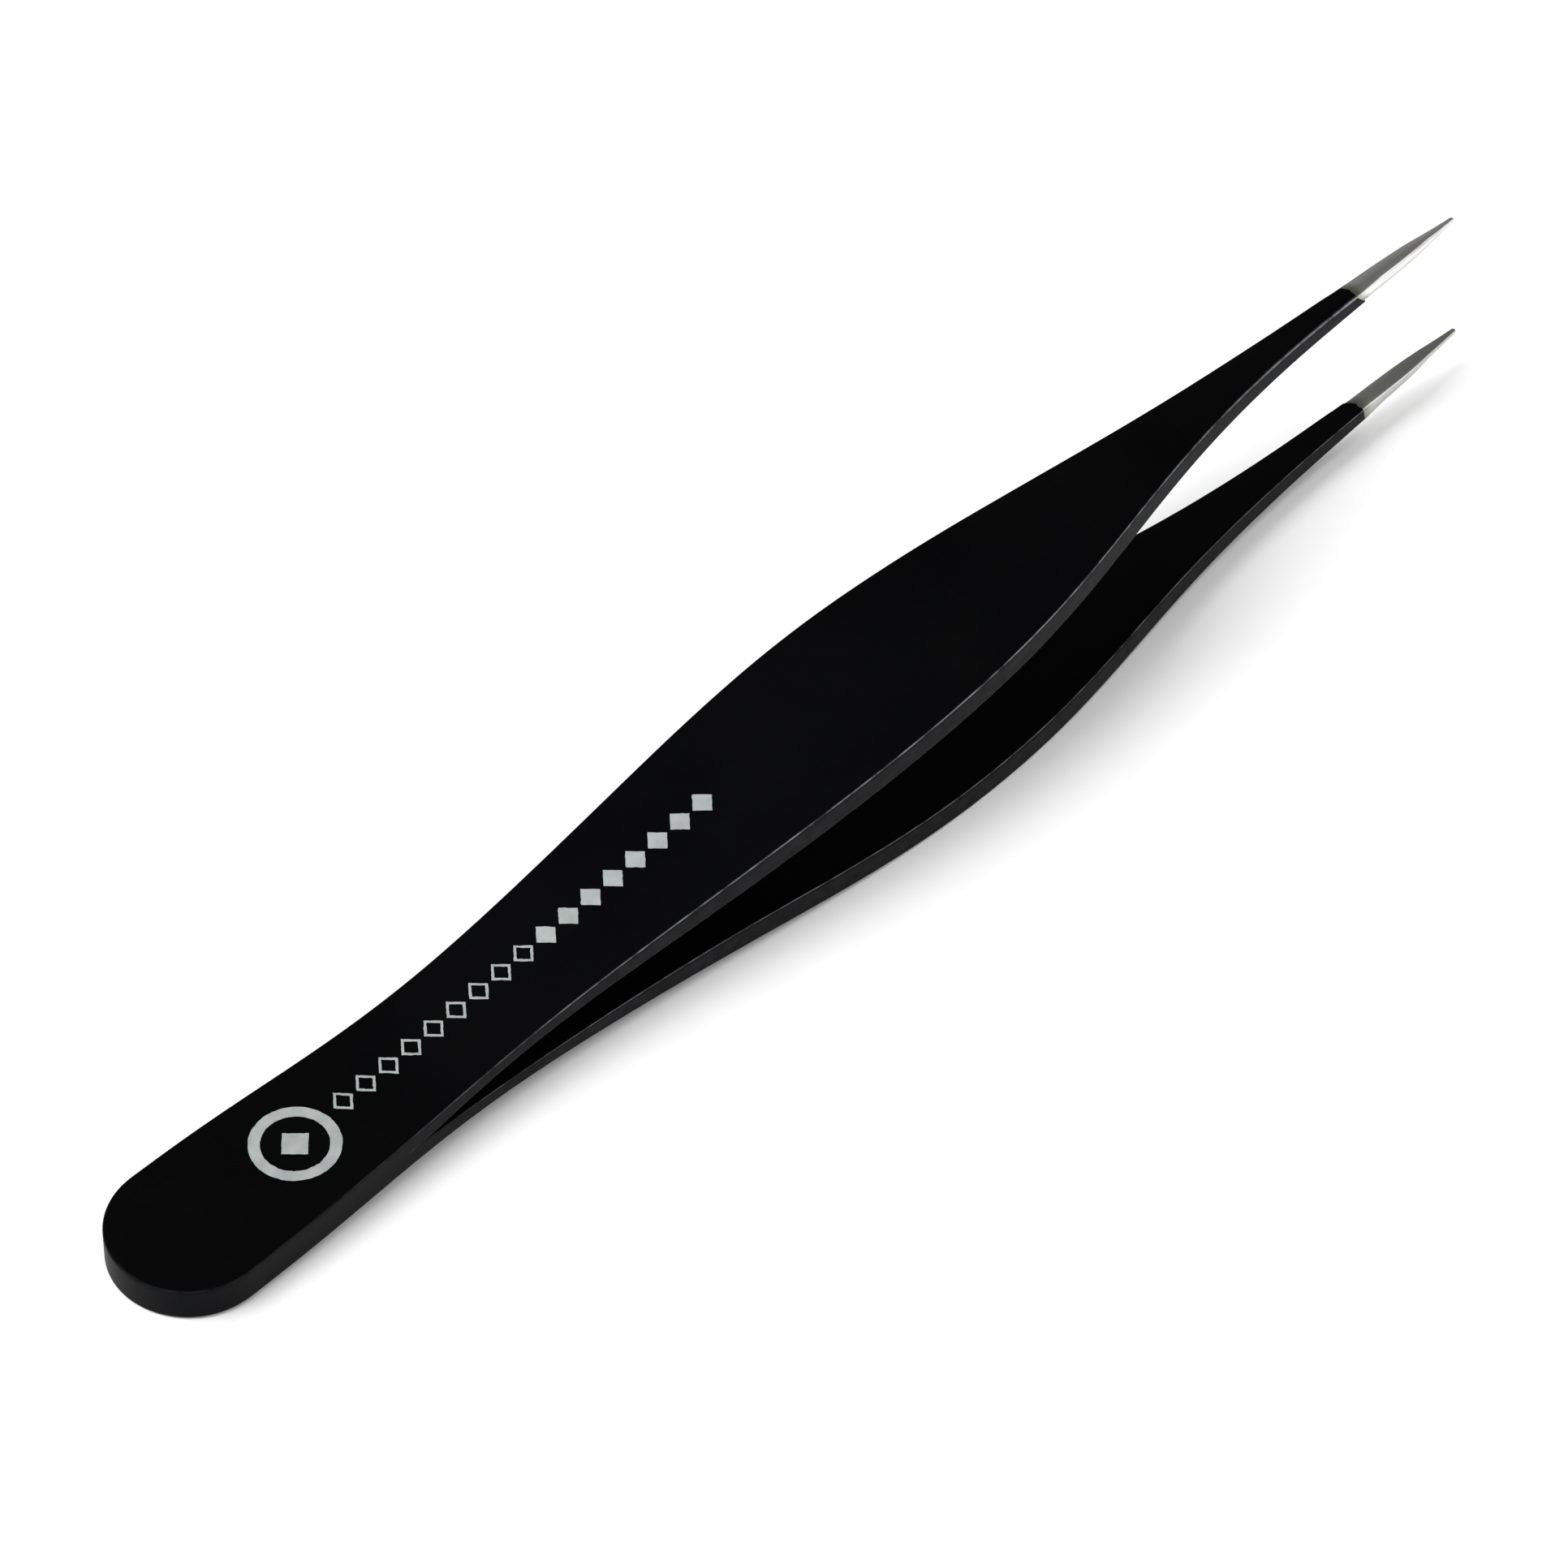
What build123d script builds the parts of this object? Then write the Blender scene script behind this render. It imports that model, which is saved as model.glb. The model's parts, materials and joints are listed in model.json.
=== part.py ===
from build123d import *
import os
from math import atan2, degrees

# Needle-point tweezers, in millimetres. Two sheet-steel strips are spot-welded together
# at the heel, bow apart and end in bare needle tips. A black coating covers all but the
# tips, and a pad-printed mark lies on the upper strip.
#
# The strips are drawn in their own frame: X runs from the heel end to the tips, and the
# plane z = 0 is where the two strips meet. place() then lays the tweezers down on z = 0.

# Driving dimensions
overall_length = 113.7
coat_thickness = 0.12
coat_end = 105.0              # the coating stops here, and the steel is bare beyond
heel_radius = 5.15            # round heel end of the steel strip, seen from above
heel_thickness = 1.15         # of one steel strip
heel_flat_length = 17.7       # the outer face starts to lift here
fork = 20.2                   # the steel strips part here
flex_line = 32.7              # where a rigid arm would have to hinge to move like the bent one
flex_gap = 0.10               # slit at that line, so that the arm can turn
edge_radius = 0.12            # rounded outer edges of the coating
nose_radius = 0.25            # round end of a needle tip, seen from above

# Outline of the steel strip seen from above: distance from the heel end, and how far the
# strip reaches to its right (-Y) and left (+Y). It is hand ground, and fuller on the right.
outline_stations = [
    (27.7, 4.35, 4.07),       # neck, the springy part
    (48.7, 5.48, 5.21),
    (60.2, 6.17, 5.48),       # widest, where the fingers press
    (74.7, 5.17, 3.97),
    (88.7, 2.22, 1.70),
    (97.7, 1.03, 0.86),       # start of the needle
]

# Side shape of the steel strip: distance from the heel end, height of the inner face
# above the plane where the strips meet, and thickness
side_stations = [
    (32.7, 1.15, 0.89),
    (46.7, 1.85, 1.44),
    (60.7, 3.21, 1.53),
    (74.7, 4.04, 1.56),
    (95.7, 5.06, 1.18),
    (104.7, 5.08, 0.94),
    (113.7, 5.15, 0.36),
]

# Spot welds that hold the two strips together
weld_places = [6.0, 14.0]
weld_radius = 2.0
weld_depth = 0.45             # how far a nugget reaches into each strip

# Printed mark: a round badge and a row of lozenges, open ones first and then solid ones
ink_thickness = 0.03
badge_place = (14.1, 0.0)
badge_radius = 2.9
badge_line = 0.75
badge_core = 1.15
row_pitch = 1.9
row_start = flex_line - 7.5 * row_pitch     # a space of the row lies on the flex line
row_offset = 0.35             # sideways, from the middle of the strip
open_marks = 9
solid_marks = 8
mark_half_length = 0.80
mark_half_height = 0.90
mark_line = 0.24

opening_slope = side_stations[0][1] / (side_stations[0][0] - fork)
reach = 20.0                  # longer than the strips are wide or high, for cutting tools
upward = 0.7                  # only the outer face's normal has more of Z than this
end_margin = 0.1              # edges this near the coating's end belong to its cut face
tilt_steps = 400              # places at which the lower arm's crest is looked for


def flat_point(x, z):
    return Vector(x, 0, z)


def inner_edge(outset):
    """Inner face in side view, from the heel end to the tip."""
    parting = flat_point(fork + outset / opening_slope, 0)
    points = [parting]
    for x, height, _ in side_stations:
        points.append(flat_point(x, height - outset))
    return Line(flat_point(-reach, 0), parting) + Spline(*points)


def outer_edge(outset):
    """Outer face in side view, from the heel end to the tip."""
    lift_off = flat_point(heel_flat_length, heel_thickness + outset)
    points = [lift_off]
    for x, height, thickness in side_stations:
        points.append(flat_point(x, height + thickness + outset))
    tip_direction = points[-1] - points[-2]
    curve = Spline(*points, tangents=[Vector(1, 0, 0), tip_direction])
    return Line(flat_point(-reach, heel_thickness + outset), lift_off) + curve


def band(lower, upper):
    """Solid between two edges of the side view, as deep as the strips are wide."""
    ends = [Line(lower @ 0, upper @ 0), Line(lower @ 1, upper @ 1)]
    outline = make_face(lower.edges() + upper.edges() + ends)
    return extrude(outline, amount=reach, both=True)


def outline_side(side, outset):
    """One side of the outline, from the heel end round to the tip; side is -1 or 1."""
    heel_centre = heel_radius + coat_thickness
    nose_centre = overall_length - nose_radius
    heel = heel_radius + outset
    nose = nose_radius + outset
    points = [Vector(heel_centre, side * heel)]
    for x, right, left in outline_stations:
        half_width = left if side > 0 else right
        points.append(Vector(x, side * (half_width + outset)))
    points.append(Vector(nose_centre, side * nose))
    taper = points[-1] - points[-2]
    heel_arc = CenterArc((heel_centre, 0), heel, 180, -90 * side)
    edge = Spline(*points, tangents=[Vector(1, 0), taper])
    nose_arc = CenterArc((nose_centre, 0), nose, 0, 90 * side)
    return heel_arc.edges() + edge.edges() + nose_arc.edges()


def outline_prism(outset):
    """The strip's outline seen from above, as a tall prism."""
    outline = make_face(outline_side(1, outset) + outline_side(-1, outset))
    return extrude(outline, amount=reach, both=True)


def strip(outset):
    """The upper strip, grown on every face by outset."""
    return band(inner_edge(outset), outer_edge(outset)) & outline_prism(outset)


def slab(start, end):
    """All that lies between two places along the tweezers."""
    middle = (start + end) / 2
    return Pos(middle, 0, 0) * Box(end - start, 2 * reach, 2 * reach)


def mirrored(shape):
    """The same thing on the lower strip."""
    return mirror(shape, about=Plane.XY)


def spot_welds():
    nugget = Cylinder(weld_radius, 2 * weld_depth)
    return [Pos(x, 0, 0) * nugget for x in weld_places]


def coated_strip():
    """Outer skin of the coated upper strip, with rounded outer edges."""
    sharp = strip(coat_thickness) & slab(-reach, coat_end)
    top = sharp.faces().filter_by(lambda face: face.normal_at().Z > upward)
    rims = [edge for edge in top.edges() if edge.center().X < coat_end - end_margin]
    along_top = [edge for edge in rims if edge.length > heel_radius]
    return fillet(along_top, edge_radius)


def lozenge(half_length, half_height):
    corners = [(half_length, 0), (0, half_height), (-half_length, 0), (0, -half_height)]
    return make_face(Polyline(*corners, close=True))


def mark_faces():
    """The badge and the row of lozenges, flat, in the order in which they lie."""
    ring = Circle(badge_radius) - Circle(badge_radius - badge_line)
    marks = [Pos(*badge_place) * ring, Pos(*badge_place) * lozenge(badge_core, badge_core)]
    solid = lozenge(mark_half_length, mark_half_height)
    hole = lozenge(mark_half_length - mark_line, mark_half_height - mark_line)
    for number in range(open_marks + solid_marks):
        shape = solid - hole if number < open_marks else solid
        marks.append(Pos(row_start + number * row_pitch, row_offset) * shape)
    return marks


def printed(marks):
    """Ink film in the shape of the marks, on the coated upper strip."""
    film = band(outer_edge(coat_thickness), outer_edge(coat_thickness + ink_thickness))
    solids = []
    for mark in marks:
        solids += (film & extrude(mark, amount=reach)).solids()
    return solids


def rest_tilt():
    """Angle at which the tweezers lie on the heel end and on the lower arm's crest."""
    crest = outer_edge(coat_thickness)
    heel_height = heel_thickness + coat_thickness
    places = [crest @ (step / tilt_steps) for step in range(tilt_steps + 1)]
    return max(degrees(atan2(p.Z - heel_height, p.X)) for p in places if p.X > flex_line)


def place(solids, tilt, middle):
    """Lay the solids down on z = 0, with the origin under the middle of their length."""
    lift = Pos(0, 0, heel_thickness + coat_thickness)
    return [Pos(-middle, 0, 0) * Rot(0, -tilt, 0) * lift * solid for solid in solids]


def main():
    os.makedirs("parts", exist_ok=True)
    heel_side = slab(-reach, flex_line - flex_gap / 2)
    arm_side = slab(flex_line + flex_gap / 2, overall_length + reach)
    welds = spot_welds()
    steel = strip(0)
    coated = coated_strip()
    skin = coated - steel
    heel_coating = (coated + mirrored(coated)) & heel_side
    heel_coating = heel_coating - steel - mirrored(steel)
    heel_strip = (steel & heel_side) - welds
    marks = printed(mark_faces())
    nodes = {
        "upper_heel_strip": heel_strip.solids(),
        "lower_heel_strip": mirrored(heel_strip).solids(),
        "spot_welds": welds,
        "heel_coating": heel_coating.solids(),
        "upper_arm_strip": (steel & arm_side).solids(),
        "lower_arm_strip": mirrored(steel & arm_side).solids(),
        "upper_arm_coating": (skin & arm_side).solids(),
        "lower_arm_coating": mirrored(skin & arm_side).solids(),
        "heel_print": [mark for mark in marks if mark.center().X < flex_line],
        "arm_print": [mark for mark in marks if mark.center().X > flex_line],
    }
    tilt = rest_tilt()
    print("tilt in degrees:", tilt)
    for name, solids in nodes.items():
        placed = place(solids, tilt, overall_length / 2)
        export_step(Compound(children=placed), f"parts/{name}.step")
        print(name, "solids:", len(placed))


main()
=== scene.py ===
from collections import namedtuple
import json
import math

import bmesh
import bpy
import numpy as np
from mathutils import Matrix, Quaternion, Vector


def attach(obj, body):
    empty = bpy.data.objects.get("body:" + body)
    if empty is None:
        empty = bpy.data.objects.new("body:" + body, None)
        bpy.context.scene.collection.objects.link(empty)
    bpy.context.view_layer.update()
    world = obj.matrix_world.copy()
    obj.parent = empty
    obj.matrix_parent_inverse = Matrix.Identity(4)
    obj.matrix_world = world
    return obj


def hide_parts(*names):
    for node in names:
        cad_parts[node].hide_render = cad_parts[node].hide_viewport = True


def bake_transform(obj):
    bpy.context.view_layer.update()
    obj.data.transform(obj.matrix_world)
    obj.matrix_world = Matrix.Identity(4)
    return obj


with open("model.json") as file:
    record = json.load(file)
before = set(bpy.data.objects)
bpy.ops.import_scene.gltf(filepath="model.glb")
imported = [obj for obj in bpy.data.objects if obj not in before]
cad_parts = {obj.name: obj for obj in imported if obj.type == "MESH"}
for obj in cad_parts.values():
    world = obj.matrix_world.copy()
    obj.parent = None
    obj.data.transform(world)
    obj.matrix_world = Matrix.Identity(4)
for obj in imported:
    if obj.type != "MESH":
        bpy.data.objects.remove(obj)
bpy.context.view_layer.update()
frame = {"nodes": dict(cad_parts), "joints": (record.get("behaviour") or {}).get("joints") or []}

# Needle-point tweezers. Each steel strip and its coating is rebuilt as one smooth mesh
# around the CAD solids, from sections measured on them, running on past the place where the
# CAD model has a hinge. Lengths are in metres.

MM = 0.001


# ---------------------------------------------------------------- the strips' own frame
# Strip coordinates are (s, y, h): s runs from the heel end to the tips, y across, and h
# is the height over the plane where the two strips meet. The hinges lie on either side
# of that plane, so they give its place and its tilt.

joints = {joint["name"]: joint for joint in frame["joints"]}
upper_pivot = np.array(joints["upper_arm_flex"]["pos_m"])
lower_pivot = np.array(joints["lower_arm_flex"]["pos_m"])
opening = (upper_pivot - lower_pivot) / np.linalg.norm(upper_pivot - lower_pivot)
across = np.array([0.0, 1.0, 0.0])
along = np.cross(across, opening)
middle = (upper_pivot + lower_pivot) / 2


def points_from_hinge(node):
    """A CAD node's vertices in strip coordinates, with s measured from the hinge line."""
    mesh = frame["nodes"][node].data
    points = np.array([vertex.co for vertex in mesh.vertices]) - middle
    return np.stack([points @ along, points @ across, points @ opening], axis=1)


# Places along the strip, from the coating's heel end, and the coating's thickness there
HINGE = -points_from_hinge("heel_coating")[:, 0].min()
TIP = points_from_hinge("upper_arm_strip")[:, 0].max() + HINGE
COAT_END = points_from_hinge("upper_arm_coating")[:, 0].max() + HINGE
COAT = points_from_hinge("upper_heel_strip")[:, 0].min() + HINGE


def node_points(node):
    """A CAD node's vertices in strip coordinates."""
    return points_from_hinge(node) + [HINGE, 0, 0]


def to_row(points):
    """Strip coordinates to the row frame."""
    s, y, h = np.asarray(points, float).T
    return middle + np.outer(s - HINGE, along) + np.outer(y, across) + np.outer(h, opening)


# ---------------------------------------------------------------- sections of the strips

SECTION_STEP = 4.5 * MM
HEEL_PROBE = 5.0 * MM         # here the round heel end has its full width
HEEL_MARGIN = 0.1 * MM        # the first section lies this far beyond the round end's centre
TIP_MARGIN = 0.3 * MM         # the last section lies this far from the tip
LEAST_LAST_STEP = 1.0 * MM
PARTED = 0.1 * MM             # inner faces higher than this have left the middle plane

Section = namedtuple("Section", "right left low high")


def edges_of(node):
    """A CAD node's edges, as two arrays of end points in strip coordinates."""
    points = node_points(node)
    pairs = np.array([edge.vertices for edge in frame["nodes"][node].data.edges])
    return points[pairs[:, 0]], points[pairs[:, 1]]


def section(edges, s):
    """Lowest and highest y and h where the plane at s cuts a node's edges."""
    first, second = edges
    cut = (first[:, 0] - s) * (second[:, 0] - s) < 0
    a, b = first[cut], second[cut]
    share = ((s - a[:, 0]) / (b[:, 0] - a[:, 0]))[:, None]
    hits = a + share * (b - a)
    return Section(hits[:, 1].min(), hits[:, 1].max(), hits[:, 2].min(), hits[:, 2].max())


def smooth_curve(xs, ys):
    """Natural cubic spline through the points, as a function that takes arrays."""
    xs, ys = np.array(xs, float), np.array(ys, float)
    gaps = np.diff(xs)
    count = len(xs)
    matrix = np.eye(count)
    right_side = np.zeros(count)
    for i in range(1, count - 1):
        matrix[i, i - 1:i + 2] = gaps[i - 1], 2 * (gaps[i - 1] + gaps[i]), gaps[i]
        slopes = (ys[i + 1] - ys[i]) / gaps[i] - (ys[i] - ys[i - 1]) / gaps[i - 1]
        right_side[i] = 6 * slopes
    bends = np.linalg.solve(matrix, right_side)

    def value(x):
        x = np.asarray(x, float)
        i = np.clip(np.searchsorted(xs, x) - 1, 0, count - 2)
        gap = gaps[i]
        a, b = (xs[i + 1] - x) / gap, (x - xs[i]) / gap
        curve = ((a**3 - a) * bends[i] + (b**3 - b) * bends[i + 1]) * gap**2 / 6
        return a * ys[i] + b * ys[i + 1] + curve

    return value


heel_edges = edges_of("upper_heel_strip")
arm_edges = edges_of("upper_arm_strip")
heel_probe = section(heel_edges, HEEL_PROBE)
HEEL_RADIUS = (heel_probe.left - heel_probe.right) / 2
HEEL_CENTRE = HEEL_RADIUS + COAT
NOSE = section(arm_edges, TIP - TIP_MARGIN).left     # radius of the round end of a needle

stations = [HEEL_CENTRE + HEEL_MARGIN]
while stations[-1] + SECTION_STEP < TIP - LEAST_LAST_STEP:
    stations.append(stations[-1] + SECTION_STEP)
stations.append(TIP - TIP_MARGIN)
sections = [section(heel_edges if s < HINGE else arm_edges, s) for s in stations]
right_curve = smooth_curve(stations, [-cut.right for cut in sections])
left_curve = smooth_curve(stations, [cut.left for cut in sections])
outer_curve = smooth_curve(stations, [cut.high for cut in sections])
raised = [(s, cut.low) for s, cut in zip(stations, sections) if cut.low > PARTED]
inner_spline = smooth_curve([s for s, _ in raised], [h for _, h in raised])
(first_s, first_h), (second_s, second_h) = raised[:2]
opening_slope = (second_h - first_h) / (second_s - first_s)
FORK = first_s - first_h / opening_slope


def inner_curve(s, grow=0.0):
    """Height of the strip's inner face, grown by that much, and zero where the strips meet."""
    s = np.asarray(s, float)
    near = first_h + (s - first_s) * opening_slope
    return np.maximum(np.where(s < first_s, near, inner_spline(s)) - grow, 0.0)


def eased(share):
    """Smooth rise from 0 to 1."""
    share = np.clip(share, 0.0, 1.0)
    return share * share * (3 - 2 * share)


def eased_before(place, length, s):
    """Smooth rise from 0 to 1 over a length that ends at a place along the strip."""
    return float(eased((s - place + length) / length))


# ---------------------------------------------------------------- rings round a strip

HEEL_STEPS = 24               # round the heel end, a quarter turn
NOSE_STEPS = 12               # round the needle's nose, a quarter turn
INNER_RIM_STEPS = 5
OUTER_RIM_STEPS = 8
WALL_SHARES = (0.2, 0.4, 0.6, 0.8)     # where the flank's points lie between the corners
OUTER_FACE_POINTS = 12
INNER_FACE_POINTS = 8
SLOPE_PROBE = 0.05 * MM       # the outline's slope is taken over twice this length
SLOPE_ONSET = 2.0 * MM        # from the round end to where the outline's own slope holds
INNER_HIGHLIGHT_AND_WEAR = 0.8              # painted highlight and wear of the inner corners, where the outer ones have 1
FLANK_SHEEN = 0.07              # painted sheen that lightens the flanks

Row = namedtuple("Row", "kind where")


def outline_rows(end, nose, step):
    """Places along one side of the outline, from the heel end to end.

    Where is an angle on the heel's round end and on the nose round the tip, and s between."""
    rows = [Row("heel", angle) for angle in np.radians(np.linspace(0, 90, HEEL_STEPS + 1)[:-1])]
    last = end - (NOSE if nose else 0)
    count = int((end - HEEL_CENTRE) / step)
    rows += [Row("side", s) for s in np.linspace(HEEL_CENTRE, last, count)]
    if nose:
        angles = np.radians(np.linspace(90, 0, NOSE_STEPS + 1)[1:])
        rows += [Row("nose", angle) for angle in angles]
    return rows


def row_s(row):
    """How far along the strip a row is; a round end counts as its centre."""
    return {"heel": HEEL_CENTRE, "side": row.where, "nose": TIP - NOSE}[row.kind]


def outline_point(row, side, grow):
    """Point on one side of the outline and its inward direction; side is -1 or 1."""
    kind, where = row
    if kind == "side":
        width = left_curve if side > 0 else right_curve
        rise = float(width(where + SLOPE_PROBE) - width(where - SLOPE_PROBE))
        slope = rise / (2 * SLOPE_PROBE) * min(1.0, (where - HEEL_CENTRE) / SLOPE_ONSET)
        inward = np.array([slope, -side]) / math.hypot(slope, 1)
        y = side * (float(width(max(where, stations[0]))) + grow)
        return np.array([where, y]), inward
    if kind == "heel":
        radius, centre, turn = HEEL_RADIUS + grow, HEEL_CENTRE, -1
    else:
        radius, centre, turn = NOSE + grow, TIP - NOSE, 1
    point = [centre + turn * radius * math.cos(where), side * radius * math.sin(where)]
    inward = [-turn * math.cos(where), -side * math.sin(where)]
    return np.array(point), np.array(inward)


def rim_steps(radius, count):
    """Quarter round, as (how far in, how far down) pairs, from the wall to the face."""
    angles = np.radians(np.linspace(0, 90, count))
    return [(radius * (1 - math.cos(a)), radius * (1 - math.sin(a))) for a in angles]


def rim_highlight_and_wear(down, radius):
    """How much painted highlight and wear a point of a rounded corner gets: most half way round,
    like a highlight.
    """
    if radius == 0:
        return 0.0
    return math.sin(math.pi * min(1.0, down / radius)) ** 2


def flank(row, side, grow, outer_rim, inner_rim, crown, inner_crown):
    """One side of a ring, from the inner face up to the outer one, and how much painted highlight,
    painted sheen and wear each of its points gets.
    """
    start, inward = outline_point(row, side, grow)
    points, lit_and_worn = [], []
    for far, down in reversed(rim_steps(inner_rim, INNER_RIM_STEPS)):
        s, y = start + inward * far
        points.append((s, y, inner_curve(s, grow) + inner_crown + down))
        lit_and_worn.append(INNER_HIGHLIGHT_AND_WEAR * rim_highlight_and_wear(down, inner_rim))
    low = inner_curve(start[0], grow) + inner_crown + inner_rim
    high = outer_curve(start[0]) + grow - crown - outer_rim
    for share in WALL_SHARES:
        points.append((start[0], start[1], low + share * (high - low)))
        # the flank gets a little painted sheen
        lit_and_worn.append(FLANK_SHEEN)
    for far, down in rim_steps(outer_rim, OUTER_RIM_STEPS):
        s, y = start + inward * far
        points.append((s, y, outer_curve(s) + grow - crown - down))
        lit_and_worn.append(rim_highlight_and_wear(down, outer_rim))
    return points, lit_and_worn


def places_between(a, b, count):
    """Places (s, y, outwardness) on a face from a to b; the last is 1 at the face's sides."""
    places = []
    for share in np.linspace(0, 1, count + 2)[1:-1]:
        s = a[0] + share * (b[0] - a[0])
        y = a[1] + share * (b[1] - a[1])
        places.append((s, y, (2 * share - 1) ** 2))
    return places


def ring(row, grow, outer_rim, inner_rims, crown, inner_crown=0.0):
    """One closed ring of points round the strip, in strip coordinates, and how much painted
    highlight, painted sheen and wear each point gets.

    The rims are corner radii; the inner face has one on the right and one on the left. The
    crowns are how far the outer and the inner face fall away towards their sides."""
    right_rim, left_rim = inner_rims
    right, right_lit_and_worn = flank(row, -1, grow, outer_rim, right_rim, crown, inner_crown)
    left, left_lit_and_worn = flank(row, 1, grow, outer_rim, left_rim, crown, inner_crown)
    outer_face, inner_face = [], []
    for s, y, outwardness in places_between(right[-1], left[-1], OUTER_FACE_POINTS):
        outer_face.append((s, y, outer_curve(s) + grow - crown * outwardness))
    for s, y, outwardness in places_between(left[0], right[0], INNER_FACE_POINTS):
        inner_face.append((s, y, inner_curve(s, grow) + inner_crown * outwardness))
    points = right + outer_face + left[::-1] + inner_face
    lit_and_worn = right_lit_and_worn + [0.0] * len(outer_face) + left_lit_and_worn[::-1] + [0.0] * len(inner_face)
    return np.array(points, float), lit_and_worn


# ---------------------------------------------------------------- meshes

SHARP_ANGLE = math.radians(40)
WELD_DISTANCE = 0.0005 * MM


def mesh_object(name, points, faces, smooth=True):
    """A new object in the scene, with a mesh of these points and faces."""
    mesh = bpy.data.meshes.new(name)
    mesh.from_pydata([tuple(p) for p in points], [], faces)
    mesh.validate()
    piece = bpy.data.objects.new(name, mesh)
    bpy.context.scene.collection.objects.link(piece)
    for polygon in mesh.polygons:
        polygon.use_smooth = smooth
    return piece


def weld(piece):
    """Joins the points that fall together where a ring closes up, and turns faces outward."""
    work = bmesh.new()
    work.from_mesh(piece.data)
    bmesh.ops.remove_doubles(work, verts=work.verts, dist=WELD_DISTANCE)
    bmesh.ops.dissolve_degenerate(work, edges=work.edges, dist=WELD_DISTANCE / 10)
    bmesh.ops.recalc_face_normals(work, faces=work.faces)
    work.to_mesh(piece.data)
    work.free()


def skin(name, rings, attributes, mirror):
    """Closed mesh through the rings, in the row frame; mirror puts it on the lower strip."""
    count = len(rings[0])
    points = np.concatenate(rings)
    if mirror:
        points = points * [1, 1, -1]
    faces = []
    for start in range(0, len(points) - count, count):
        for j in range(count):
            k = (j + 1) % count
            faces.append((start + j, start + k, start + count + k, start + count + j))
    faces.append(tuple(range(count)))
    faces.append(tuple(range(len(points) - count, len(points))))
    piece = mesh_object(name, to_row(points), faces)
    for title, values in attributes.items():
        attribute = piece.data.attributes.new(title, "FLOAT", "POINT")
        attribute.data.foreach_set("value", np.array(values, np.float32))
    weld(piece)
    piece.data.set_sharp_from_angle(angle=SHARP_ANGLE)
    return piece


# ---------------------------------------------------------------- the coating's end

# Where the coating ends and the needle begins: how far the ragged end slants per metre
# across, how far it runs on along the inner face's right side, how far it is set back, its
# ripple's phase, and the share of the needle's thickness below which painted shade darkens the
# steel
CoatEnd = namedtuple("CoatEnd", "slant drip setback phase bright_from")
COAT_ENDS = {
    "upper": CoatEnd(-0.20, 0.90 * MM, 0.58 * MM, 0.4, 0.28),
    "lower": CoatEnd(-0.54, -0.15 * MM, 0.15 * MM, 1.3, 1.0),
}
CORNER_SETBACK = 0.30 * MM    # the end lies this much further back at the strip's corners
CORNER_REACH = 0.75 * MM      # and reaches that this far from the middle
RIPPLE = 0.025 * MM           # height of each of its two ripples
RIPPLE_LENGTHS = (0.17 * MM, 0.07 * MM)     # across the strip, for one radian
END_STRETCH = 2.5 * MM        # length of coating that shifts along with its end


def coat_end_shift(end, y, h_share):
    """How far the coating's end lies beyond COAT_END; h_share is 0 at the inner face."""
    corners = -CORNER_SETBACK * min(1.0, (y / CORNER_REACH) ** 2)
    long_wave, short_wave = RIPPLE_LENGTHS
    ripple = math.sin(y / long_wave + end.phase) + math.sin(y / short_wave + 2 * end.phase)
    run_on = end.drip * (1 - h_share) if y < 0 else 0.0
    return end.slant * y + run_on - end.setback + corners + RIPPLE * ripple


def moved_along(point, shift):
    """The point moved along the strip by shift, and kept on the strip's tapering sides."""
    s, y, h = point
    width = left_curve if y > 0 else right_curve
    old_low, old_high = float(inner_curve(s)), float(outer_curve(s))
    new_low, new_high = float(inner_curve(s + shift)), float(outer_curve(s + shift))
    share = (h - old_low) / (old_high - old_low)
    widening = float(width(s + shift) - width(s))
    y += math.copysign(widening, y) * min(1.0, abs(y) / float(width(s)))
    return s + shift, y, h + (1 - share) * (new_low - old_low) + share * (new_high - old_high)


# ---------------------------------------------------------------- the coating

COATING_STEP = 0.45 * MM
OUTER_RIM = 0.13 * MM
RIM_GROWTH = 0.09 * MM        # the outer corners are this much rounder near the coating's end
RIM_GROWTH_AHEAD = 2.0 * MM   # and are fully so this far before it
RIM_GROWTH_LENGTH = 20.0 * MM
INNER_RIM = 0.09 * MM
INNER_RIM_ONSET = 4.0 * MM    # length over which the inner corners appear beyond the fork
CROWN = 0.02 * MM
COAT_THINNING = 0.02 * MM
THINNING_LENGTH = 3.0 * MM
# The rounded end, in steps: how far ahead of COAT_END, and how thick the coating is there
LIP = [(0.02 * MM, 0.092 * MM), (0.035 * MM, 0.075 * MM), (0.04 * MM, 0.02 * MM)]

# Strength along the strip of the painted highlight, painted sheen and wear on the coating
HEEL_HIGHLIGHT_AND_RUB = 0.10
FINGER_HIGHLIGHT_AND_RUB = 0.75             # added where the fingers press
FINGERS_AT = 22.0 * MM        # they press from this far beyond the fork
FINGER_HIGHLIGHT_AND_RUB_LENGTH = 30.0 * MM
END_RUB = 0.6                 # added towards the coating's end
END_RUB_LENGTH = 4.0 * MM


def highlight_and_rubbing(s):
    """How strongly the coating's corners and flanks get painted highlight, painted sheen and wear:
    hardly at the heel, most where fingers press.
    """
    worked = eased_before(FORK + FINGERS_AT, FINGER_HIGHLIGHT_AND_RUB_LENGTH, s)
    chipped = eased_before(COAT_END, END_RUB_LENGTH, s)
    return HEEL_HIGHLIGHT_AND_RUB + FINGER_HIGHLIGHT_AND_RUB * worked + END_RUB * chipped


def coat_at(s):
    """Thickness of the coating, which thins out over its last stretch."""
    return COAT - COAT_THINNING * eased_before(COAT_END, THINNING_LENGTH, s)


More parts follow.
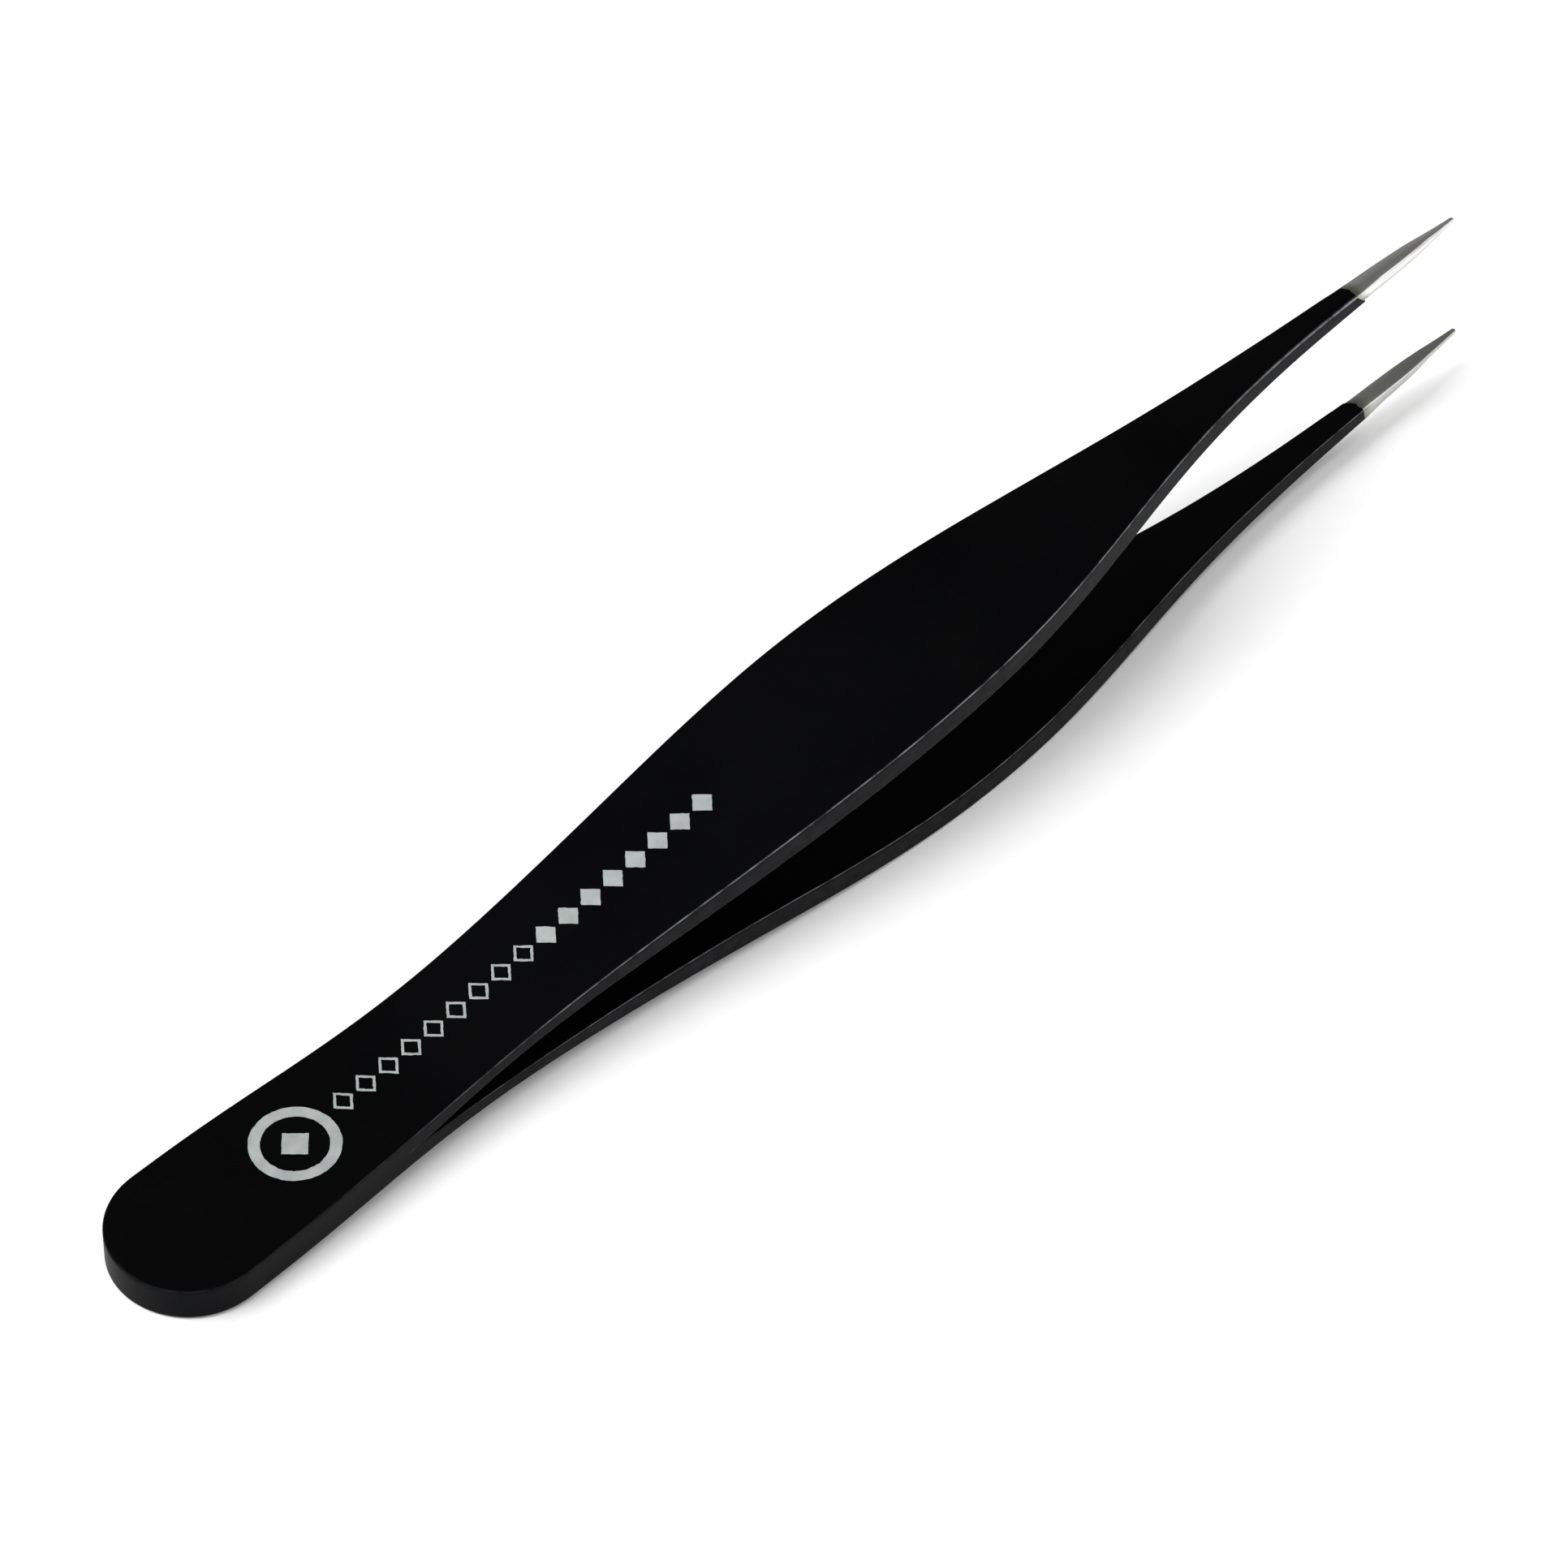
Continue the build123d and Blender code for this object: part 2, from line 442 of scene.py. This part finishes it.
def coat_rim(s):
    """Radius of the coating's outer corners, which are rounder towards its end."""
    return OUTER_RIM + RIM_GROWTH * eased_before(COAT_END - RIM_GROWTH_AHEAD, RIM_GROWTH_LENGTH, s)


def shift_coat_end(rings, end):
    """Moves the last stretch of the coating's rings so that they end in the ragged line."""
    low, high = inner_curve(COAT_END, COAT), outer_curve(COAT_END) + COAT
    for points in rings:
        near = eased((points[:, 0] - COAT_END + END_STRETCH) / END_STRETCH)
        for i in np.nonzero(near)[0]:
            share = min(1.0, max(0.0, (points[i, 2] - low) / (high - low)))
            points[i] = moved_along(points[i], near[i] * coat_end_shift(end, points[i, 1], share))


def make_coating(name, mirror, end):
    """The coating over one strip, thin and rounded where it ends."""
    rings, marks = [], []
    for row in outline_rows(COAT_END, nose=False, step=COATING_STEP):
        s = row_s(row)
        inner_rim = INNER_RIM * min(1.0, max(0.0, (s - FORK) / INNER_RIM_ONSET))
        points, lit_and_worn = ring(row, coat_at(s), coat_rim(s), (inner_rim, inner_rim), CROWN)
        rings.append(points)
        # painted highlight, painted sheen and wear, scaled along the strip
        marks += [mark * highlight_and_rubbing(s) for mark in lit_and_worn]
    for ahead, grow in LIP:
        inner_rims = (INNER_RIM, INNER_RIM)
        points, lit_and_worn = ring(Row("side", COAT_END), grow, coat_rim(COAT_END), inner_rims, CROWN)
        rings.append(points + [ahead, 0, 0])
        marks += lit_and_worn
    shift_coat_end(rings, end)
    return skin(name, rings, {"corner_highlight_and_wear": marks}, mirror)


# ---------------------------------------------------------------- the steel strips

STRIP_STEP = 0.3 * MM
STEEL_SLACK = -0.004 * MM     # keeps the covered steel off the coating
COVERED_OUTER_RIM = 0.06 * MM
COVERED_INNER_RIM = 0.02 * MM
COVERED_CROWN = 0.01 * MM
BARE_AHEAD = 1.0 * MM         # the needle's shape is complete this far before COAT_END
BARE_ONSET = 2.0 * MM
# Corner radii of the needle as shares of its half width
NEEDLE_OUTER_RIM = 0.16       # next to the coating
NEEDLE_OUTER_RIM_RISE = 0.42  # added towards the point
NEEDLE_INNER_RIM = 0.34
INNER_RIM_DIFFERENCE = 0.16   # the right one is larger by this, and the left one smaller
RIMS_EVEN_LENGTH = 2.5 * MM   # over which that difference goes, up to the nose
NEEDLE_GROWTH = 0.084 * MM
NEEDLE_CROWN = 0.05 * MM
NEEDLE_INNER_CROWN = 0.05 * MM
NEEDLE_SWELL = 0.10 * MM      # half way along it, on either side
NEEDLE_LEAN = 0.12 * MM       # of the point, to the left
NEEDLE_BEVEL = 0.16 * MM      # of the right flank, at the outer face
BEVEL_FADES = (0.2, 0.3)      # shares of the needle's length, at the coating and at the point
POINT_LENGTH = 4.5 * MM
POINT_NARROWING = 0.34
POINT_THINNING = 0.2
STAIN_LENGTH = 0.9 * MM       # of the overspray beyond the coating
SHADE_FADE = 0.25          # share of the needle's thickness over which the painted shade fades out


def share_to_tip(s):
    """1 where the needle begins, and 0 at its tip."""
    return float(np.clip((TIP - s) / (TIP - COAT_END), 0, 1))


def height_share(h):
    """0 at a ring's lowest point, and 1 at its highest."""
    return (h - h.min()) / (h.max() - h.min())


def needle_rims(s, bare):
    """Corner radii of the strip at s: the outer ones, and the right and left inner ones."""
    half_width = float(left_curve(s))
    outer_share = NEEDLE_OUTER_RIM + NEEDLE_OUTER_RIM_RISE * (1 - share_to_tip(s))
    uneven = INNER_RIM_DIFFERENCE * min(1.0, (TIP - NOSE - s) / RIMS_EVEN_LENGTH)
    outer_rim = COVERED_OUTER_RIM + bare * (outer_share * half_width - COVERED_OUTER_RIM)
    inner_rims = []
    for inner_share in (NEEDLE_INNER_RIM + uneven, NEEDLE_INNER_RIM - uneven):
        needle_rim = inner_share * half_width
        inner_rims.append(COVERED_INNER_RIM + bare * (needle_rim - COVERED_INNER_RIM))
    return outer_rim, inner_rims


def needle_ground(points, s, bare):
    """A ring at s, ground to the needle's shape: pointed, leaning left and bevelled right."""
    half_width = float(left_curve(s))
    inner = float(inner_curve(s))
    to_tip = share_to_tip(s)
    sharpness = eased_before(TIP, POINT_LENGTH, s)
    swell = NEEDLE_SWELL * 4 * to_tip * (1 - to_tip) / half_width
    y, h = points[:, 1], points[:, 2]
    h = inner + (h - inner) * (1 - POINT_THINNING * sharpness)
    y = y * (1 + swell - POINT_NARROWING * sharpness) + bare * NEEDLE_LEAN * (1 - to_tip) ** 2
    fade_at_coat, fade_at_point = BEVEL_FADES
    bevel = NEEDLE_BEVEL * min(1.0, (1 - to_tip) / fade_at_coat, to_tip / fade_at_point)
    on_right = np.clip(-y / half_width, 0, 1)
    y = y + bevel * on_right * height_share(h)
    return np.stack([points[:, 0], y, h], axis=1)


def steel_marks(points, end):
    """How oversprayed each point of a ring is, and how much painted shade darkens it."""
    stains, painted_shade = [], []
    for s, y, share in zip(points[:, 0], points[:, 1], height_share(points[:, 2])):
        coat_stops = COAT_END + coat_end_shift(end, y, share)
        stains.append(1 - float(eased((s - coat_stops) / STAIN_LENGTH)))
        painted_shade.append(1 - float(eased((share - end.bright_from) / SHADE_FADE)))
    return stains, painted_shade


def make_strip(name, mirror, end):
    """One steel strip, from the heel end to the needle tip.

    Where it is bare it is as wide as the coating next to it, rounder, and ground to a point."""
    rings, marks, stains, painted_shade = [], [], [], []
    for row in outline_rows(TIP, nose=True, step=STRIP_STEP):
        s = row_s(row)
        bare = eased_before(COAT_END - BARE_AHEAD, BARE_ONSET, s)
        fullness = bare * share_to_tip(s)
        outer_rim, inner_rims = needle_rims(s, bare)
        grow = STEEL_SLACK + fullness * NEEDLE_GROWTH
        crown = COVERED_CROWN + fullness * NEEDLE_CROWN
        inner_crown = fullness * NEEDLE_INNER_CROWN
        points, lit_and_worn = ring(row, grow, outer_rim, inner_rims, crown, inner_crown)
        points = needle_ground(points, s, bare)
        ring_stains, ring_painted_shade = steel_marks(points, end)
        rings.append(points)
        marks += lit_and_worn
        stains += ring_stains
        painted_shade += ring_painted_shade
    # the painted shade mark darkens the lower strip and the bottom of the upper one
    attributes = {"corner_highlight_and_wear": marks, "overspray": stains, "painted_shade": painted_shade}
    return skin(name, rings, attributes, mirror)


# ---------------------------------------------------------------- printed mark

INK = 0.014 * MM              # the film reaches this far above the coating, and below it
RAGGED = 0.012 * MM           # spread of the print's uneven edges
BADGE_LINE = 0.75 * MM
LOZENGE_LINE = 0.24 * MM
OPEN_LOZENGES = 9
RING_POINTS = 96
BADGE_SEED = 3
ROW_SEED = 5
SAME_PLACE = 0.001 * MM       # CAD vertices this near are one

Box = namedtuple("Box", "s y half_s half_y")


def face_height(s, y):
    """Height of the coated outer face of the upper strip."""
    half = (float(right_curve(s)) + float(left_curve(s))) / 2
    return float(outer_curve(s)) + COAT - CROWN * min(1.0, (y / half) ** 2)


def ink(name, loops, seed):
    """A film of ink: each loop is (outer points, inner points or None), in (s, y)."""
    rng = np.random.default_rng(seed)
    points, faces = [], []

    def add_loop(loop):
        start = len(points)
        for s, y in loop:
            s += rng.normal(0, RAGGED)
            y += rng.normal(0, RAGGED)
            points.append((s, y, face_height(s, y) + INK))
        for s, y, h in points[start:]:
            points.append((s, y, h - 2 * INK))
        return start, len(loop)

    def add_wall(start, count, flip):
        for k in range(count):
            n = (k + 1) % count
            quad = (start + k, start + n, start + count + n, start + count + k)
            faces.append(quad[::-1] if flip else quad)

    for outer, inner in loops:
        o, count = add_loop(outer)
        add_wall(o, count, False)
        if inner is None:
            faces.append(tuple(range(o, o + count)))
            faces.append(tuple(range(o + 2 * count - 1, o + count - 1, -1)))
        else:
            i, _ = add_loop(inner)
            add_wall(i, count, True)
            for k in range(count):
                n = (k + 1) % count
                faces.append((o + k, o + n, i + n, i + k))
                faces.append((o + count + k, i + count + k, i + count + n, o + count + n))
    piece = mesh_object(name, to_row(points), faces, smooth=False)
    weld(piece)
    return piece


def ring_loop(centre, radius):
    """Points round a circle."""
    angles = np.linspace(0, 2 * math.pi, RING_POINTS, endpoint=False)
    return [(centre[0] + radius * math.cos(a), centre[1] + radius * math.sin(a)) for a in angles]


def lozenge_loop(centre, half_length, half_height, per_side=6):
    """Points round a lozenge, that many on each side."""
    corners = [(half_length, 0), (0, half_height), (-half_length, 0), (0, -half_height)]
    loop = []
    for k in range(4):
        a, b = np.array(corners[k]), np.array(corners[(k + 1) % 4])
        for share in np.arange(per_side) / per_side:
            s, y = a + share * (b - a)
            loop.append((centre[0] + s, centre[1] + y))
    return loop


def parts_of(node):
    """Boxes of the loose parts of a CAD node, in order from the heel end."""
    points = node_points(node)
    parent = list(range(len(points)))

    def root(i):
        while parent[i] != i:
            parent[i] = parent[parent[i]]
            i = parent[i]
        return i

    places = {}
    for i, p in enumerate(points):
        key = tuple(np.round(p / SAME_PLACE).astype(int))
        parent[i] = places.setdefault(key, i)
    for edge in frame["nodes"][node].data.edges:
        a, b = (root(i) for i in edge.vertices)
        parent[a] = b
    groups = {}
    for i, p in enumerate(points):
        groups.setdefault(root(i), []).append(p)
    boxes = []
    for group in groups.values():
        low, high = np.min(group, axis=0), np.max(group, axis=0)
        centre, half = (low + high) / 2, (high - low) / 2
        boxes.append(Box(centre[0], centre[1], half[0], half[1]))
    return sorted(boxes)


def make_print():
    """The badge and the row of lozenges, where the CAD print lies."""
    boxes = parts_of("heel_print") + parts_of("arm_print")
    badge = max(boxes, key=lambda box: box.half_y)
    others = [box for box in boxes if box is not badge]
    core = min(others, key=lambda box: abs(box.s - badge.s))
    centre = (badge.s, badge.y)
    badge_loops = [
        (ring_loop(centre, badge.half_y), ring_loop(centre, badge.half_y - BADGE_LINE)),
        (lozenge_loop(centre, core.half_s, core.half_y, per_side=10), None),
    ]
    row_loops = []
    lozenges = [box for box in others if box is not core]
    for number, box in enumerate(lozenges):
        place = (box.s, box.y)
        hole = None
        if number < OPEN_LOZENGES:
            hole = lozenge_loop(place, box.half_s - LOZENGE_LINE, box.half_y - LOZENGE_LINE)
        row_loops.append((lozenge_loop(place, box.half_s, box.half_y), hole))
    return ink("printed_badge", badge_loops, BADGE_SEED), ink("printed_row", row_loops, ROW_SEED)


# ---------------------------------------------------------------- materials

EVEN = (1, 1, 1)              # a pattern that isn't stretched
COLD_TINT = (0.76, 0.81, 1.0, 1.0)


def grey(level):
    """A colour with no hue."""
    return (level, level, level)


class Nodes:
    """Short calls for building a material's node tree.

    Their inputs can be numbers, colours or the outputs of other nodes."""

    def __init__(self, name):
        self.material = bpy.data.materials.new(name)
        self.material.use_nodes = True
        self.tree = self.material.node_tree
        self.shader = self.tree.nodes["Principled BSDF"]

    def feed(self, socket, value):
        """Links an output to a socket, or gives the socket a value of its own."""
        if isinstance(value, bpy.types.NodeSocket):
            self.tree.links.new(value, socket)
        else:
            socket.default_value = value

    def shade(self, name, value):
        """Gives one of the shader's own inputs its value."""
        self.feed(self.shader.inputs[name], value)

    def add(self, kind, **inputs):
        """A new node; its inputs are given by name, with _ for a space."""
        node = self.tree.nodes.new(kind)
        for key, value in inputs.items():
            self.feed(node.inputs[key.replace("_", " ")], value)
        return node

    def position(self, scale):
        """Object coordinates, stretched by scale along each row axis."""
        place = self.add("ShaderNodeTexCoord")
        mapping = self.add("ShaderNodeMapping", Vector=place.outputs["Object"], Scale=scale)
        return mapping.outputs["Vector"]

    def mark(self, name):
        """A value that each point of the mesh carries."""
        node = self.add("ShaderNodeAttribute")
        node.attribute_name = name
        return node.outputs["Fac"]

    def noise(self, vector, scale, detail, roughness=0.5):
        node = self.add("ShaderNodeTexNoise", Vector=vector, Scale=scale, Detail=detail,
                        Roughness=roughness)
        return node.outputs["Fac"]

    def ramp(self, value, stops):
        node = self.add("ShaderNodeValToRGB", Fac=value)
        for element, (place, colour) in zip(node.color_ramp.elements, stops):
            element.position = place
            element.color = (*colour, 1)
        return node.outputs["Color"]

    def span(self, value, low, high):
        """A value from 0 to 1, stretched to run from low to high."""
        node = self.add("ShaderNodeMapRange", Value=value, To_Min=low, To_Max=high)
        return node.outputs["Result"]

    def math(self, operation, a, b):
        node = self.add("ShaderNodeMath")
        node.operation = operation
        for socket, value in zip(node.inputs, (a, b)):
            self.feed(socket, value)
        return node.outputs["Value"]

    def mix(self, share, a, b):
        """From colour a to colour b."""
        node = self.add("ShaderNodeMix")
        node.data_type = "RGBA"
        sockets = (node.inputs[0], node.inputs[6], node.inputs[7])
        for socket, value in zip(sockets, (share, a, b)):
            self.feed(socket, (*value, 1) if isinstance(value, tuple) else value)
        return node.outputs[2]

    def bump(self, height, distance, strength, after=None):
        node = self.add("ShaderNodeBump", Height=height, Distance=distance, Strength=strength)
        if after is not None:
            self.feed(node.inputs["Normal"], after)
        return node.outputs["Normal"]


def coating_material():
    """Satin black baked coating: fine orange peel, a little dust, and corners and flanks lightened
    partly by wear and partly by painted highlight and sheen.
    """
    m = Nodes("black_coating")
    even = m.position(EVEN)
    cloud = m.noise(even, scale=90, detail=4)
    speck = m.noise(even, scale=2600, detail=2)
    peel = m.noise(even, scale=1500, detail=3, roughness=0.55)
    flaking = m.noise(even, scale=800, detail=6, roughness=0.65)
    dust = (0.0018, 0.0018, 0.0017)
    # bluish grey for the corners and flanks: partly wear, partly painted highlight and sheen
    highlight_and_wear_colour = (0.32, 0.325, 0.36)
    chips = m.ramp(flaking, [(0.36, grey(0.12)), (0.64, grey(1))])
    highlight_and_wear_share = m.math("MULTIPLY", m.math("POWER", m.mark("corner_highlight_and_wear"), 1.3), chips)
    black = m.ramp(cloud, [(0.3, grey(0.0003)), (0.7, (0.0009, 0.0009, 0.0008))])
    dusted = m.mix(m.span(speck, low=-0.6, high=0.4), black, dust)
    m.shade("Base Color", m.mix(highlight_and_wear_share, dusted, highlight_and_wear_colour))
    satin = m.span(cloud, low=0.34, high=0.44)
    m.shade("Roughness", m.math("ADD", satin, m.math("MULTIPLY", speck, 0.06)))
    m.shade("Specular IOR Level", 0.05)
    m.shade("Specular Tint", COLD_TINT)
    m.shade("Normal", m.bump(peel, distance=0.006 * MM, strength=0.8))
    return m.material


def steel_material():
    """Ground stainless steel: fine lines along the strip, warm grey, brighter on the corners.

    Overspray darkens it where the coating stops, and painted shade darkens all of the lower
    strip's steel and the part of the upper strip's steel nearest its inner face."""
    m = Nodes("ground_steel")
    lines = m.noise(m.position((60, 1500, 1500)), scale=2.2, detail=4, roughness=0.6)
    fine = m.noise(m.position((120, 5000, 5000)), scale=1.5, detail=2)
    streaks = m.noise(m.position((90, 2600, 2600)), scale=1.4, detail=3, roughness=0.6)
    cloud = m.noise(m.position(EVEN), scale=260, detail=3)
    pale = (0.82, 0.815, 0.78)
    polished = (0.92, 0.915, 0.90)
    # darker steel colour for the painted shade
    shaded_steel = (0.54, 0.54, 0.51)
    sprayed = (0.20, 0.20, 0.17)
    ground = m.ramp(streaks, [(0.35, (0.74, 0.735, 0.70)), (0.65, (0.90, 0.895, 0.87))])
    clouded = m.mix(m.span(cloud, low=0.0, high=0.5), ground, pale)
    bright = m.mix(m.mark("corner_highlight_and_wear"), clouded, polished)
    # painted shade: the steel darkened towards that colour
    darkened = m.math("MULTIPLY", m.mark("painted_shade"), m.span(cloud, low=0.8, high=1.0))
    stain = m.math("MULTIPLY", m.mark("overspray"), m.span(cloud, low=0.6, high=1.0))
    m.shade("Base Color", m.mix(stain, m.mix(darkened, bright, shaded_steel), sprayed))
    m.shade("Metallic", 1.0)
    brushed = m.span(lines, low=0.22, high=0.36)
    m.shade("Roughness", m.math("ADD", brushed, m.math("MULTIPLY", cloud, 0.05)))
    m.shade("Anisotropic", 0.4)
    coarse = m.bump(lines, distance=0.0035 * MM, strength=0.7)
    m.shade("Normal", m.bump(fine, distance=0.0015 * MM, strength=0.6, after=coarse))
    return m.material


def ink_material():
    """Light grey pad-printing ink: matt, a little patchy, with a fine grain."""
    m = Nodes("print_ink")
    even = m.position(EVEN)
    patch = m.noise(even, scale=900, detail=4)
    grain = m.noise(even, scale=5200, detail=2)
    thin = (0.22, 0.235, 0.233)
    full = m.ramp(patch, [(0.3, (0.28, 0.30, 0.298)), (0.7, (0.37, 0.395, 0.39))])
    m.shade("Base Color", m.mix(m.span(grain, low=0.0, high=0.35), full, thin))
    m.shade("Roughness", m.span(patch, low=0.48, high=0.62))
    m.shade("Normal", m.bump(grain, distance=0.004 * MM, strength=0.6))
    return m.material


def weld_material():
    """Fused steel inside the heel: dull, with coarse crystals."""
    m = Nodes("weld_steel")
    crystals = m.add("ShaderNodeTexVoronoi", Vector=m.position(EVEN), Scale=3200.0)
    depth = crystals.outputs["Distance"]
    m.shade("Base Color", m.ramp(depth, [(0.1, (0.30, 0.29, 0.28)), (0.8, (0.48, 0.47, 0.45))]))
    m.shade("Metallic", 1.0)
    m.shade("Roughness", m.span(depth, low=0.45, high=0.65))
    m.shade("Normal", m.bump(depth, distance=0.02 * MM, strength=0.5))
    return m.material


def floor_material():
    """Plain pale paper-like floor."""
    m = Nodes("pale_floor")
    fibre = m.noise(m.position(EVEN), scale=700, detail=4)
    m.shade("Base Color", m.ramp(fibre, [(0.3, grey(0.905)), (0.7, grey(0.92))]))
    m.shade("Roughness", 0.9)
    m.shade("Specular IOR Level", 0.1)
    return m.material


def paint(piece, material):
    """Makes this the piece's only material."""
    piece.data.materials.clear()
    piece.data.materials.append(material)


# ---------------------------------------------------------------- build the tweezers

black = coating_material()
steel = steel_material()
ink_look = ink_material()

for arm, mirror in (("upper", False), ("lower", True)):
    coating = make_coating(f"{arm}_coating", mirror, COAT_ENDS[arm])
    strip = make_strip(f"{arm}_strip", mirror, COAT_ENDS[arm])
    paint(coating, black)
    paint(strip, steel)
    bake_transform(coating)
    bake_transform(strip)
    heel_skin = ["heel_coating"] if arm == "upper" else []
    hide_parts(f"{arm}_arm_coating", *heel_skin)
    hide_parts(f"{arm}_heel_strip", f"{arm}_arm_strip")

badge, row = make_print()
for piece in (badge, row):
    paint(piece, ink_look)
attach(badge, "heel")
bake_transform(row)
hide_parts("heel_print")
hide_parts("arm_print")

paint(frame["nodes"]["spot_welds"], weld_material())


# ---------------------------------------------------------------- floor and light

FLOOR_REACH = 20.0
FLOOR_HEIGHT = -0.01 * MM     # just under the tweezers
WORLD_STRENGTH = 0.55
# Brightness of the surroundings by height, from 0 at the horizon to 1 overhead
WORLD_LEVELS = ((0.05, 1.0), (0.3, 0.70), (0.55, 0.34), (0.74, 0.21), (1.0, 0.15))


def make_floor():
    """Wide flat floor under the tweezers."""
    corners = [(-1, -1), (1, -1), (1, 1), (-1, 1)]
    points = [(FLOOR_REACH * x, FLOOR_REACH * y, FLOOR_HEIGHT) for x, y in corners]
    floor = mesh_object("floor", points, [(0, 1, 2, 3)], smooth=False)
    paint(floor, floor_material())


def direction(azimuth, elevation):
    """Unit vector from the object towards an observer there; azimuth 0 is at -Y, 90 at +X."""
    a, e = math.radians(azimuth), math.radians(elevation)
    return Vector((math.sin(a) * math.cos(e), -math.cos(a) * math.cos(e), math.sin(e)))


def make_light(name, azimuth, elevation, softness, strength):
    """Far-off soft light from one side; the angles and softness, its width, are in degrees."""
    lamp = bpy.data.lights.new(name, "SUN")
    lamp.angle = math.radians(softness)
    lamp.energy = strength
    lamp_object = bpy.data.objects.new(name, lamp)
    back = direction(azimuth, elevation)
    lamp_object.location = back
    lamp_object.rotation_mode = "QUATERNION"
    lamp_object.rotation_quaternion = (-back).to_track_quat("-Z", "Y")
    bpy.context.scene.collection.objects.link(lamp_object)


def make_world():
    """Soft surroundings, brightest along the horizon."""
    world = bpy.data.worlds.new("studio")
    world.use_nodes = True
    tree = world.node_tree
    place = tree.nodes.new("ShaderNodeTexCoord")
    split = tree.nodes.new("ShaderNodeSeparateXYZ")
    ramp = tree.nodes.new("ShaderNodeValToRGB")
    background = tree.nodes["Background"]
    tree.links.new(place.outputs["Generated"], split.inputs["Vector"])
    tree.links.new(split.outputs["Z"], ramp.inputs["Fac"])
    tree.links.new(ramp.outputs["Color"], background.inputs["Color"])
    elements = ramp.color_ramp.elements
    while len(elements) < len(WORLD_LEVELS):
        elements.new(0.5)
    for element, (height, level) in zip(elements, WORLD_LEVELS):
        element.position = height
        element.color = (*grey(level), 1)
    background.inputs["Strength"].default_value = WORLD_STRENGTH
    bpy.context.scene.world = world


make_floor()
make_world()
make_light("key", -132, 58, softness=45, strength=2.0)
make_light("side", -84, 58, softness=45, strength=1.5)
make_light("fill", 28, 45, softness=40, strength=0.7)
make_light("front", -45, 20, softness=32, strength=0.45)
bpy.context.scene.view_settings.view_transform = "Standard"


# ---------------------------------------------------------------- camera
# The photograph's viewing direction, in degrees. The camera is far off, with a long lens,
# because the photograph shows hardly any perspective.

CAMERA_AZIMUTH = -44.75
CAMERA_ELEVATION = 47.62
CAMERA_ROLL = 1.04
CAMERA_DISTANCE = 1.5
CAMERA_LENS = 560.1
SENSOR_WIDTH = 36.0
CLIP_NEAR = 0.01
CLIP_FAR = 20.0
AIM = Vector((-0.00146, 0.00024, 0.00440))     # the middle of the picture


def make_camera():
    """Camera at the photograph's angle, looking at AIM."""
    data = bpy.data.cameras.new("camera")
    data.lens = CAMERA_LENS
    data.sensor_width = SENSOR_WIDTH
    data.clip_start = CLIP_NEAR
    data.clip_end = CLIP_FAR
    camera = bpy.data.objects.new("camera", data)
    back = direction(CAMERA_AZIMUTH, CAMERA_ELEVATION)
    camera.location = AIM + back * CAMERA_DISTANCE
    camera.rotation_mode = "QUATERNION"
    level = (-back).to_track_quat("-Z", "Y")
    camera.rotation_quaternion = level @ Quaternion((0, 0, 1), math.radians(CAMERA_ROLL))
    bpy.context.scene.collection.objects.link(camera)
    bpy.context.scene.camera = camera


make_camera()
